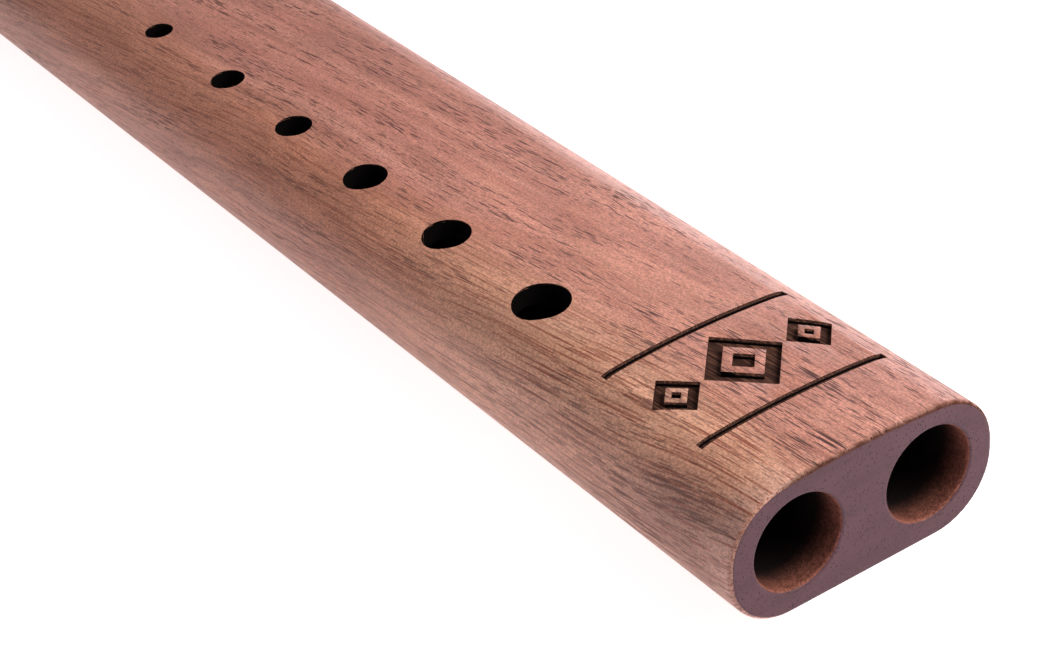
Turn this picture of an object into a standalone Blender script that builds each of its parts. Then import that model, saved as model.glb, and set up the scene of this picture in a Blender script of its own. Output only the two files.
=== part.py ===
"""A double flute: one wooden body with two bores, the left one fingered and the right one a drone.

The foot face is in the plane y = 0 and the body runs along +Y to the mouthpiece. The bore axes lie in the
plane z = 0, and the finger holes open upwards. Run with: blender --background --python part.py
"""

import math

import bmesh
import bpy
from mathutils import Matrix, Vector

MM = 0.001

# Body: a flattened round bar, flat below and slightly crowned above
BODY_WIDTH = 59.5 * MM
BODY_HEIGHT = 28.5 * MM
BODY_LENGTH = 486.0 * MM
SIDE_RADIUS = 13.0 * MM
CROWN_RADIUS = 200.0 * MM
FOOT_RIM_ROUND = 1.0 * MM

# Bores
BORE_DIAMETER = 19.05 * MM
BORE_SPACING = 29.5 * MM
BORE_LIP_ROUND = 0.8 * MM

# Finger holes, foot end first: distance from the foot face, diameter
FINGER_HOLES = (
    (73.3 * MM, 11.3 * MM),
    (105.5 * MM, 9.8 * MM),
    (135.6 * MM, 9.1 * MM),
    (164.3 * MM, 7.8 * MM),
    (192.8 * MM, 7.4 * MM),
    (224.7 * MM, 6.2 * MM),
)
FINGER_ROW_OFFSET = 0.8 * MM
FINGER_HOLE_CHAMFER = 0.25 * MM

# Sound mechanism of each bore, from the foot towards the mouth
SOUND_CHAMBER_LENGTH = 355.0 * MM
WINDOW_LENGTH = 5.0 * MM
WINDOW_WIDTH = 11.0 * MM
EDGE_THICKNESS = 0.6 * MM
EDGE_RAMP_LENGTH = 8.0 * MM
STOPPER_LENGTH = 18.0 * MM
EXIT_LENGTH = 9.0 * MM

# Nest, the flat bed cut across the body under both blocks
NEST_DEPTH = 2.5 * MM
NEST_END_RADIUS = 6.0 * MM

# Flue plates, the thin spacers that shape the air stream under each block
PLATE_THICKNESS = 1.0 * MM
PLATE_MARGIN = 3.5 * MM
PLATE_CORNER_RADIUS = 1.5 * MM
FLUE_WIDTH = 10.5 * MM
FLUE_CORNER_RADIUS = 1.0 * MM
FLUE_SETBACK = 0.5 * MM

# Blocks, which sit on the plates and can be nudged along the flute to voice it
BLOCK_WIDTH = 16.5 * MM
BLOCK_LENGTH = 58.0 * MM
BLOCK_HEIGHT = 17.0 * MM
BLOCK_FRONT_HEIGHT = 11.0 * MM
BLOCK_TAIL_HEIGHT = 5.0 * MM
BLOCK_CORNER_RADIUS = 3.0 * MM
BLOCK_FOOT_CHAMFER = 0.4 * MM
CHIMNEY_LENGTH = 9.5 * MM
SADDLE_START = 20.0 * MM
SADDLE_LENGTH = 22.0 * MM
SADDLE_HEIGHT = 12.0 * MM
SADDLE_SLOPE = 3.5 * MM

# Mouthpiece
MOUTHPIECE_LENGTH = 44.0 * MM
MOUTH_TIP_WIDTH = 36.0 * MM
MOUTH_TIP_HEIGHT = 14.0 * MM
MOUTH_NOSE_ROUND = 4.0 * MM
TENON_LENGTH = 12.0 * MM
BREATH_HOLE_DIAMETER = 6.35 * MM
BREATH_HOLE_WALL = 1.2 * MM

# Fits: loose in a bore, glued face to face, and sliding
BORE_GAP = 0.3 * MM
GLUE_GAP = 0.1 * MM
SLIDING_GAP = 0.2 * MM
CUT_OVERRUN = 1.0 * MM

# Facets
ARC_STEPS = 12
CROWN_STEPS = 8
BORE_STEPS = 56
HOLE_STEPS = 36
CHANNEL_STEPS = 20
CORNER_STEPS = 4
RIM_STEPS = 4
LIP_STEPS = 4
HUMP_STEPS = 8
SADDLE_STEPS = 6
TAPER_STEPS = 12
NOSE_ANGLES = (25, 45, 62)
SHARP_ANGLE = 35
FLAT_ANGLE = 0.05
WELD_DISTANCE = 0.01 * MM

# Worked out from the sizes above
BORE_RADIUS = BORE_DIAMETER / 2
MELODY_X = -BORE_SPACING / 2
DRONE_X = BORE_SPACING / 2
NEST_FLOOR_Z = BODY_HEIGHT / 2 - NEST_DEPTH
WINDOW_FRONT_Y = SOUND_CHAMBER_LENGTH - WINDOW_LENGTH
EXIT_FRONT_Y = SOUND_CHAMBER_LENGTH + STOPPER_LENGTH
EXIT_REAR_Y = EXIT_FRONT_Y + EXIT_LENGTH
PLATE_Z = NEST_FLOOR_Z + GLUE_GAP
BLOCK_Z = PLATE_Z + PLATE_THICKNESS + SLIDING_GAP
BLOCK_FRONT_Y = SOUND_CHAMBER_LENGTH + FLUE_SETBACK - CHIMNEY_LENGTH
BLOCK_REAR_Y = BLOCK_FRONT_Y + BLOCK_LENGTH
SADDLE_FRONT_Y = BLOCK_FRONT_Y + SADDLE_START
SADDLE_REAR_Y = SADDLE_FRONT_Y + SADDLE_LENGTH
PLATE_FRONT_Y = BLOCK_FRONT_Y - PLATE_MARGIN
PLATE_REAR_Y = BLOCK_REAR_Y + PLATE_MARGIN
NEST_FRONT_Y = PLATE_FRONT_Y - NEST_END_RADIUS - BORE_GAP
NEST_REAR_Y = PLATE_REAR_Y + NEST_END_RADIUS + BORE_GAP
MOUTHPIECE_Y = BODY_LENGTH + GLUE_GAP

# How an outline's own plane stands in the model: (u, v, depth) to world axes
ACROSS = Matrix(((1, 0, 0), (0, 0, -1), (0, 1, 0))).to_4x4()
SIDEWAYS = Matrix(((0, 0, 1), (1, 0, 0), (0, 1, 0))).to_4x4()
LEVEL = Matrix.Identity(4)
ALONG_Y = Matrix.Rotation(-math.pi / 2, 4, "X")


def clear_scene():
    """Remove every object of the file that this script runs in."""
    for obj in list(bpy.data.objects):
        bpy.data.objects.remove(obj)


def new_collection(name, parent):
    """Return a new collection linked under its parent."""
    collection = bpy.data.collections.new(name)
    parent.children.link(collection)
    return collection


def new_material(name, colour, roughness, metallic=0.0):
    """Return a Principled material of one colour."""
    material = bpy.data.materials.new(name)
    material.use_nodes = True
    shader = material.node_tree.nodes["Principled BSDF"]
    shader.inputs["Base Color"].default_value = (*colour, 1.0)
    shader.inputs["Roughness"].default_value = roughness
    shader.inputs["Metallic"].default_value = metallic
    return material


def new_object(name, data, collection, place=LEVEL):
    """Link an object that holds the given data, standing as the matrix says."""
    obj = bpy.data.objects.new(name, data)
    obj.matrix_world = place
    collection.objects.link(obj)
    return obj


def mesh_object(name, bm, collection, place=LEVEL):
    """Turn a bmesh into an object with its faces pointing outwards."""
    bmesh.ops.recalc_face_normals(bm, faces=bm.faces[:])
    mesh = bpy.data.meshes.new(name)
    bm.to_mesh(mesh)
    bm.free()
    return new_object(name, mesh, collection, place)


def finish(obj, material):
    """Give a piece its material and smooth shading on its round faces."""
    obj.data.materials.clear()
    obj.data.materials.append(material)
    obj.data.shade_smooth()
    obj.data.set_sharp_from_angle(angle=math.radians(SHARP_ANGLE))
    return obj


def cutter(obj):
    """Mark an object as a helper that isn't part of the flute."""
    obj.hide_render = True
    obj.display_type = "WIRE"
    return obj


def cut(obj, cutters):
    """Subtract every object of a collection."""
    modifier = obj.modifiers.new("cut", "BOOLEAN")
    modifier.operation = "DIFFERENCE"
    modifier.solver = "EXACT"
    modifier.operand_type = "COLLECTION"
    modifier.collection = cutters


def join(obj, others):
    """Unite an object with every object of a collection."""
    modifier = obj.modifiers.new("join", "BOOLEAN")
    modifier.operation = "UNION"
    modifier.solver = "EXACT"
    modifier.operand_type = "COLLECTION"
    modifier.collection = others


def arc(centre, radius, start, end, steps):
    """Return points on an arc, both ends included, with its angles in degrees."""
    points = []
    for i in range(steps + 1):
        angle = math.radians(start + (end - start) * i / steps)
        points.append((centre[0] + radius * math.cos(angle), centre[1] + radius * math.sin(angle)))
    return points


def rounded_rectangle(low, high, radius, steps=CORNER_STEPS):
    """Return the outline of a rectangle with four round corners."""
    (x0, y0), (x1, y1) = low, high
    return (
        arc((x1 - radius, y0 + radius), radius, -90, 0, steps)
        + arc((x1 - radius, y1 - radius), radius, 0, 90, steps)
        + arc((x0 + radius, y1 - radius), radius, 90, 180, steps)
        + arc((x0 + radius, y0 + radius), radius, 180, 270, steps)
    )


def crown_centre(height, side_radius, half_flat):
    """Return (height of the crown's centre, height of the upper side arcs' centres)."""
    crown_z = height / 2 - CROWN_RADIUS
    return crown_z, crown_z + math.sqrt((CROWN_RADIUS - side_radius) ** 2 - half_flat**2)


def bar_section(width, height, side_radius):
    """Return the body's outline in (x, z): flat below, round at the sides, crowned above."""
    half_flat = width / 2 - side_radius
    crown_z, upper_z = crown_centre(height, side_radius, half_flat)
    lower_z = side_radius - height / 2
    lean = math.degrees(math.atan2(upper_z - crown_z, half_flat))
    return (
        arc((half_flat, lower_z), side_radius, -90, 0, ARC_STEPS)
        + arc((half_flat, upper_z), side_radius, 0, lean, ARC_STEPS)
        + arc((0, crown_z), CROWN_RADIUS, lean, 180 - lean, CROWN_STEPS)[1:-1]
        + arc((-half_flat, upper_z), side_radius, 180 - lean, 180, ARC_STEPS)
        + arc((-half_flat, lower_z), side_radius, 180, 270, ARC_STEPS)
    )


def surface_z(x):
    """Return the height of the body's crowned top at a distance from its middle."""
    return BODY_HEIGHT / 2 - CROWN_RADIUS + math.sqrt(CROWN_RADIUS**2 - x**2)


def extruded(name, outlines, depth, place, collection):
    """Make a solid of flat outlines, the later ones holes in the first, extruded both ways from its plane."""
    curve = bpy.data.curves.new(name, "CURVE")
    curve.dimensions = "2D"
    curve.fill_mode = "BOTH"
    curve.extrude = depth / 2
    for outline in outlines:
        spline = curve.splines.new("POLY")
        spline.points.add(len(outline) - 1)
        for point, (u, v) in zip(spline.points, outline):
            point.co = (u, v, 0, 1)
        spline.use_cyclic_u = True
    flat = new_object(name + "_outline", curve, collection, place)
    bpy.context.view_layer.update()
    mesh = bpy.data.meshes.new_from_object(flat.evaluated_get(bpy.context.evaluated_depsgraph_get()))
    bm = bmesh.new()
    bm.from_mesh(mesh)
    bmesh.ops.remove_doubles(bm, verts=bm.verts[:], dist=WELD_DISTANCE)
    bmesh.ops.dissolve_limit(bm, angle_limit=math.radians(FLAT_ANGLE), verts=bm.verts[:], edges=bm.edges[:])
    bm.to_mesh(mesh)
    bm.free()
    mesh.name = name
    place = flat.matrix_world.copy()
    bpy.data.objects.remove(flat)
    return new_object(name, mesh, collection, place)


def turned(name, profile, steps, place, collection):
    """Make a turned solid from a profile of (radius, height), listed from its top down its outer side."""
    bm = bmesh.new()
    verts = [bm.verts.new((radius, 0, height)) for radius, height in profile]
    for above, below in zip(verts, verts[1:]):
        bm.edges.new((above, below))
    mesh = bpy.data.meshes.new(name)
    bm.to_mesh(mesh)
    bm.free()
    obj = new_object(name, mesh, collection, place)
    screw = obj.modifiers.new("turn", "SCREW")
    screw.steps = steps
    screw.render_steps = steps
    screw.use_merge_vertices = True
    screw.merge_threshold = WELD_DISTANCE
    return obj


def lofted(name, rings, collection, place=LEVEL):
    """Make a solid through closed rings of points, each with the same count, and cap its ends."""
    bm = bmesh.new()
    loops = []
    for ring in rings:
        verts = [bm.verts.new(point) for point in ring]
        loops.append([bm.edges.new((verts[i - 1], verts[i])) for i in range(len(verts))])
    for first, second in zip(loops, loops[1:]):
        bmesh.ops.bridge_loops(bm, edges=first + second)
    bmesh.ops.holes_fill(bm, edges=loops[0] + loops[-1], sides=0)
    return mesh_object(name, bm, collection, place)


def box(name, low, high, collection):
    """Make a box between two corners."""
    bm = bmesh.new()
    size = Vector(high) - Vector(low)
    middle = (Vector(high) + Vector(low)) / 2
    bmesh.ops.create_cube(bm, size=1.0)
    bmesh.ops.scale(bm, vec=size, verts=bm.verts[:])
    return mesh_object(name, bm, collection, Matrix.Translation(middle))


def cylinder(name, start, end, diameter, steps, collection):
    """Make a cylinder from one point to another."""
    run = Vector(end) - Vector(start)
    bm = bmesh.new()
    bmesh.ops.create_cone(
        bm,
        cap_ends=True,
        segments=steps,
        radius1=diameter / 2,
        radius2=diameter / 2,
        depth=run.length,
    )
    turn = run.to_track_quat("Z", "Y").to_matrix().to_4x4()
    return mesh_object(name, bm, collection, Matrix.Translation(Vector(start) + run / 2) @ turn)


def make_body(parts, cutters, material):
    """Make the body with its bores, finger holes, nest, windows and air exits."""
    body = extruded(
        "body",
        [bar_section(BODY_WIDTH, BODY_HEIGHT, SIDE_RADIUS)],
        BODY_LENGTH,
        Matrix.Translation((0, BODY_LENGTH / 2, 0)) @ ACROSS,
        parts,
    )
    round_foot_rim(body)
    for side, x in (("melody", MELODY_X), ("drone", DRONE_X)):
        cutter(bore_cutter(side, x, cutters))
        for part in sound_mechanism_cutters(side, x, cutters):
            cutter(part)
    for number, (distance, diameter) in enumerate(FINGER_HOLES, start=1):
        cutter(finger_hole_cutter(number, distance, diameter, cutters))
    cutter(nest_cutter(cutters))
    cut(body, cutters)
    return finish(body, material)


def round_foot_rim(body):
    """Round the rim of the foot face."""
    bm = bmesh.new()
    bm.from_mesh(body.data)
    foot = BODY_LENGTH / 2 - WELD_DISTANCE
    rim = [edge for edge in bm.edges if all(vert.co.z > foot for vert in edge.verts)]
    bmesh.ops.bevel(
        bm,
        geom=rim,
        offset=FOOT_RIM_ROUND,
        segments=RIM_STEPS,
        profile=0.5,
        affect="EDGES",
        material=-1,
        clamp_overlap=True,
    )
    bm.to_mesh(body.data)
    bm.free()


def bore_cutter(side, x, cutters):
    """Make the cutter of a bore that runs right through, with a round lip at the foot."""
    lip_radius = BORE_RADIUS + BORE_LIP_ROUND
    profile = [
        (0, BODY_LENGTH + CUT_OVERRUN),
        (BORE_RADIUS, BODY_LENGTH + CUT_OVERRUN),
        *arc((lip_radius, BORE_LIP_ROUND), BORE_LIP_ROUND, 180, 270, LIP_STEPS),
        (lip_radius, -CUT_OVERRUN),
        (0, -CUT_OVERRUN),
    ]
    return turned(side + "_bore", profile, BORE_STEPS, Matrix.Translation((x, 0, 0)) @ ALONG_Y, cutters)


def finger_hole_cutter(number, distance, diameter, cutters):
    """Make the cutter of a finger hole, from the melody bore's axis up, with an eased edge."""
    x = MELODY_X - FINGER_ROW_OFFSET
    top = surface_z(x)
    radius = diameter / 2
    profile = (
        (0, top + FINGER_HOLE_CHAMFER + CUT_OVERRUN),
        (radius + FINGER_HOLE_CHAMFER, top + FINGER_HOLE_CHAMFER + CUT_OVERRUN),
        (radius + FINGER_HOLE_CHAMFER, top),
        (radius, top - FINGER_HOLE_CHAMFER),
        (radius, 0),
        (0, 0),
    )
    place = Matrix.Translation((x, distance, 0))
    return turned(f"finger_hole_{number}", profile, HOLE_STEPS, place, cutters)


def nest_cutter(cutters):
    """Make the cutter of the flat bed that both blocks sit on, swept up at its ends."""
    outline = rounded_rectangle(
        (NEST_FRONT_Y, NEST_FLOOR_Z),
        (NEST_REAR_Y, NEST_FLOOR_Z + 2 * NEST_END_RADIUS),
        NEST_END_RADIUS,
        ARC_STEPS,
    )
    return extruded("nest", [outline], BODY_WIDTH + 2 * CUT_OVERRUN, SIDEWAYS, cutters)


def sound_mechanism_cutters(side, x, cutters):
    """Make the cutters of a bore's window, the ramp under its sharp edge, and its air exit."""
    half = WINDOW_WIDTH / 2
    top = NEST_FLOOR_Z + CUT_OVERRUN
    low, high = (x - half, WINDOW_FRONT_Y, 0), (x + half, SOUND_CHAMBER_LENGTH, top)
    window = box(side + "_window", low, high, cutters)
    low, high = (x - half, EXIT_FRONT_Y, 0), (x + half, EXIT_REAR_Y, top)
    air_exit = box(side + "_exit", low, high, cutters)
    edge_z = NEST_FLOOR_Z - EDGE_THICKNESS
    ramp_outline = (
        (WINDOW_FRONT_Y - EDGE_RAMP_LENGTH, BORE_RADIUS / 2),
        (WINDOW_FRONT_Y + CUT_OVERRUN, BORE_RADIUS / 2),
        (WINDOW_FRONT_Y + CUT_OVERRUN, edge_z),
        (WINDOW_FRONT_Y, edge_z),
    )
    place = Matrix.Translation((x, 0, 0)) @ SIDEWAYS
    ramp = extruded(side + "_ramp", [ramp_outline], WINDOW_WIDTH, place, cutters)
    return window, air_exit, ramp


def make_stopper(side, x, parts, cutters, material):
    """Make the plug that parts a sound chamber from its air chamber, sloped up to the air exit."""
    radius = BORE_RADIUS - BORE_GAP
    profile = (
        (0, EXIT_REAR_Y),
        (radius, EXIT_REAR_Y),
        (radius, SOUND_CHAMBER_LENGTH),
        (0, SOUND_CHAMBER_LENGTH),
    )
    stopper = turned(side + "_stopper", profile, BORE_STEPS, Matrix.Translation((x, 0, 0)) @ ALONG_Y, parts)
    slope = (
        (EXIT_FRONT_Y, BORE_RADIUS),
        (EXIT_REAR_Y + CUT_OVERRUN, -BORE_RADIUS),
        (EXIT_REAR_Y + CUT_OVERRUN, BORE_RADIUS),
    )
    place = Matrix.Translation((x, 0, 0)) @ SIDEWAYS
    cutter(extruded(side + "_slope", [slope], BORE_DIAMETER, place, cutters))
    cut(stopper, cutters)
    return finish(stopper, material)


def make_plate(side, x, parts, material):
    """Make a flue plate: a thin spacer whose slot joins the air exit to the window."""
    half = BLOCK_WIDTH / 2
    middle = (PLATE_FRONT_Y + PLATE_REAR_Y) / 2
    edge = rounded_rectangle(
        (-half, PLATE_FRONT_Y - middle), (half, PLATE_REAR_Y - middle), PLATE_CORNER_RADIUS
    )
    slot = rounded_rectangle(
        (-FLUE_WIDTH / 2, WINDOW_FRONT_Y - FLUE_SETBACK - middle),
        (FLUE_WIDTH / 2, EXIT_REAR_Y - middle),
        FLUE_CORNER_RADIUS,
    )
    place = Matrix.Translation((x, middle, PLATE_Z + PLATE_THICKNESS / 2))
    return finish(extruded(side + "_flue_plate", [edge, slot], PLATE_THICKNESS, place, parts), material)


def block_height(y):
    """Return the height of a block's back at a distance along the flute."""
    stations = (
        (BLOCK_FRONT_Y, BLOCK_FRONT_HEIGHT),
        (SADDLE_FRONT_Y - SADDLE_SLOPE, BLOCK_HEIGHT),
        (SADDLE_FRONT_Y, SADDLE_HEIGHT),
        (SADDLE_REAR_Y, SADDLE_HEIGHT),
        (SADDLE_REAR_Y + SADDLE_SLOPE, BLOCK_HEIGHT),
        (BLOCK_REAR_Y, BLOCK_TAIL_HEIGHT),
    )
    for (y0, z0), (y1, z1) in zip(stations, stations[1:]):
        if y <= y1:
            share = (y - y0) / (y1 - y0)
            return z0 + (z1 - z0) * (1 - math.cos(math.pi * share)) / 2
    return BLOCK_TAIL_HEIGHT


def block_ring(y, origin_y):
    """Return a block's cross section: flat below, round at its upper corners."""
    half, top = BLOCK_WIDTH / 2, block_height(y)
    radius, foot = BLOCK_CORNER_RADIUS, BLOCK_FOOT_CHAMFER
    outline = (
        [(-half + foot, 0), (half - foot, 0), (half, foot)]
        + arc((half - radius, top - radius), radius, 0, 90, ARC_STEPS // 2)
        + arc((radius - half, top - radius), radius, 90, 180, ARC_STEPS // 2)
        + [(-half, foot)]
    )
    return [(u, y - origin_y, v) for u, v in outline]


def make_block(side, x, parts, cutters, material):
    """Make a block: humped at both ends of its saddle, with a chimney open above its window."""
    station_runs = (
        (BLOCK_FRONT_Y, SADDLE_FRONT_Y - SADDLE_SLOPE, HUMP_STEPS),
        (SADDLE_FRONT_Y - SADDLE_SLOPE, SADDLE_FRONT_Y, SADDLE_STEPS),
        (SADDLE_FRONT_Y, SADDLE_REAR_Y, 1),
        (SADDLE_REAR_Y, SADDLE_REAR_Y + SADDLE_SLOPE, SADDLE_STEPS),
        (SADDLE_REAR_Y + SADDLE_SLOPE, BLOCK_REAR_Y, HUMP_STEPS),
    )
    stations = [BLOCK_FRONT_Y]
    for start, end, steps in station_runs:
        stations += [start + (end - start) * (i + 1) / steps for i in range(steps)]
    origin_y = (BLOCK_FRONT_Y + BLOCK_REAR_Y) / 2
    rings = [block_ring(y, origin_y) for y in stations]
    block = lofted(side + "_block", rings, parts, Matrix.Translation((x, origin_y, BLOCK_Z)))
    half = FLUE_WIDTH / 2
    low = (x - half, BLOCK_FRONT_Y - CUT_OVERRUN, BLOCK_Z - CUT_OVERRUN)
    high = (x + half, BLOCK_FRONT_Y + CHIMNEY_LENGTH, BLOCK_Z + BLOCK_HEIGHT + CUT_OVERRUN)
    cutter(box(side + "_chimney", low, high, cutters))
    cut(block, cutters)
    return finish(block, material)


def mouthpiece_ring(y):
    """Return the mouthpiece's cross section at a distance from its shoulder."""
    ease = (1 - math.cos(math.pi * y / MOUTHPIECE_LENGTH)) / 2
    width = BODY_WIDTH + (MOUTH_TIP_WIDTH - BODY_WIDTH) * ease
    height = BODY_HEIGHT + (MOUTH_TIP_HEIGHT - BODY_HEIGHT) * ease
    into_nose = max(0.0, y - (MOUTHPIECE_LENGTH - MOUTH_NOSE_ROUND))
    inset = MOUTH_NOSE_ROUND - math.sqrt(MOUTH_NOSE_ROUND**2 - into_nose**2)
    width -= 2 * inset
    height -= 2 * inset
    radius = SIDE_RADIUS * height / BODY_HEIGHT
    return [(x, y, z) for x, z in bar_section(width, height, radius)]


def make_mouthpiece(parts, tenons, cutters, material):
    """Make the mouthpiece: a beak with a tenon in each bore and a breath hole through to each."""
    nose_y = MOUTHPIECE_LENGTH - MOUTH_NOSE_ROUND
    stations = [nose_y * i / TAPER_STEPS for i in range(TAPER_STEPS + 1)]
    stations += [nose_y + MOUTH_NOSE_ROUND * math.sin(math.radians(angle)) for angle in NOSE_ANGLES]
    rings = [mouthpiece_ring(y) for y in stations]
    mouthpiece = lofted("mouthpiece", rings, parts, Matrix.Translation((0, MOUTHPIECE_Y, 0)))
    tip_y = MOUTHPIECE_Y + stations[-1]
    tenon_y = BODY_LENGTH - TENON_LENGTH
    radius = BORE_RADIUS - BORE_GAP
    # Each breath hole runs along the flute, inside its tenon and as near the middle as the wall lets it
    inward = radius - BREATH_HOLE_WALL - BREATH_HOLE_DIAMETER / 2
    for side, x, sign in (("melody", MELODY_X, -1), ("drone", DRONE_X, 1)):
        inner = Vector((x, tenon_y, 0))
        shoulder = Vector((x, MOUTHPIECE_Y + CUT_OVERRUN, 0))
        cutter(cylinder(side + "_tenon", inner, shoulder, 2 * radius, BORE_STEPS, tenons))
        hole_x = x - sign * inward
        start = Vector((hole_x, tenon_y - CUT_OVERRUN, 0))
        end = Vector((hole_x, tip_y + CUT_OVERRUN, 0))
        cutter(cylinder(side + "_breath", start, end, BREATH_HOLE_DIAMETER, CHANNEL_STEPS, cutters))
    join(mouthpiece, tenons)
    cut(mouthpiece, cutters)
    return finish(mouthpiece, material)


def main():
    """Build every piece of the flute."""
    clear_scene()
    root = bpy.context.scene.collection
    parts = new_collection("double_flute", root)
    cutters = new_collection("cutters", root)
    body_wood = new_material("body_wood", (0.42, 0.20, 0.12), 0.5)
    dark_wood = new_material("dark_wood", (0.10, 0.05, 0.03), 0.45)
    brass = new_material("brass", (0.72, 0.50, 0.20), 0.35, 1.0)

    make_body(parts, new_collection("body_cutters", cutters), body_wood)
    for side, x in (("melody", MELODY_X), ("drone", DRONE_X)):
        make_stopper(side, x, parts, new_collection(side + "_stopper_cutters", cutters), body_wood)
        make_plate(side, x, parts, brass)
        make_block(side, x, parts, new_collection(side + "_block_cutters", cutters), dark_wood)
    tenons = new_collection("mouthpiece_tenons", cutters)
    make_mouthpiece(parts, tenons, new_collection("mouthpiece_cutters", cutters), body_wood)


main()
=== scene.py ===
"""Looks of a double flute: oiled hardwood with an engraved band, dark blocks and brass plates."""

import logging
import math
from abc import ABC, abstractmethod
from collections.abc import Callable, Iterable, Sequence
from dataclasses import dataclass
from enum import Enum, IntEnum

import bmesh
import bpy
from mathutils import Euler, Matrix, Vector
from mathutils.bvhtree import BVHTree


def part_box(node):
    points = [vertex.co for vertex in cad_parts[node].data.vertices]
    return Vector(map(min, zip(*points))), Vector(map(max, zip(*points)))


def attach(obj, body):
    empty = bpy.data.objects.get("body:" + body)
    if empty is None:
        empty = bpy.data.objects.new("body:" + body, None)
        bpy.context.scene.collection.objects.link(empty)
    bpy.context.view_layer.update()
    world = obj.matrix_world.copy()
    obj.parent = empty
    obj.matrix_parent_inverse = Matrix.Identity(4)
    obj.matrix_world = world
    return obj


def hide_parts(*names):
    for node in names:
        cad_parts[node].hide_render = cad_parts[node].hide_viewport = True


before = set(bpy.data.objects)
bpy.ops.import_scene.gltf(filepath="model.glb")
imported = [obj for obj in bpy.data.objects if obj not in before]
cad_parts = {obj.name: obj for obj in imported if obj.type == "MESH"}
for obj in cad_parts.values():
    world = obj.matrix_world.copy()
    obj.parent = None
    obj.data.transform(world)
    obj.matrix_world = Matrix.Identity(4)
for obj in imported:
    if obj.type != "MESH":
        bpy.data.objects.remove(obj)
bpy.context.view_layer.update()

MM = 0.001
LOG = logging.getLogger("double_flute")
ACROSS, ALONG, UP = range(3)
SIDES = (-1, 1)
MERGE_DISTANCE = 0.002 * MM
FLAT_ANGLE = math.radians(0.2)
SHARP_ANGLE = math.radians(38)

Colour = tuple[float, float, float]
Point = tuple[float, float, float]
Zone = tuple[float, float]
Tints = tuple[Colour, Colour]
Material = bpy.types.Material
Object = bpy.types.Object
Face = bmesh.types.BMFace
Mesh = bmesh.types.BMesh
Surface = Callable[[float, float], float]
Socket = bpy.types.NodeSocket
Value = Socket | float | Sequence[float]
Inputs = dict[str | int, Value]

WHITE: Colour = (1.0, 1.0, 1.0)
NOISE_SPAN: Zone = (0.3, 0.7)


class Node(Enum):
    """The frame's nodes."""

    BODY = "body"
    MOUTHPIECE = "mouthpiece"
    MELODY_STOPPER = "melody_stopper"
    DRONE_STOPPER = "drone_stopper"
    MELODY_PLATE = "melody_flue_plate"
    DRONE_PLATE = "drone_flue_plate"
    MELODY_BLOCK = "melody_block"
    DRONE_BLOCK = "drone_block"


class Carrier(Enum):
    """The frame's bodies, which the pieces ride on."""

    FLUTE = "flute"
    MELODY = "melody_voicing"
    DRONE = "drone_voicing"


class Slot(Enum):
    """The record's material slots."""

    BODY = "body_wood"
    MOUTHPIECE = "mouthpiece_wood"
    STOPPER = "stopper_wood"
    BLOCK = "block_wood"
    FLUE = "flue_brass"


class BodyPart(IntEnum):
    """The places of the finishes in the body's list of materials."""

    SIDES = 0
    ENDS = 1
    BORES = 2
    BURNS = 3


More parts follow.
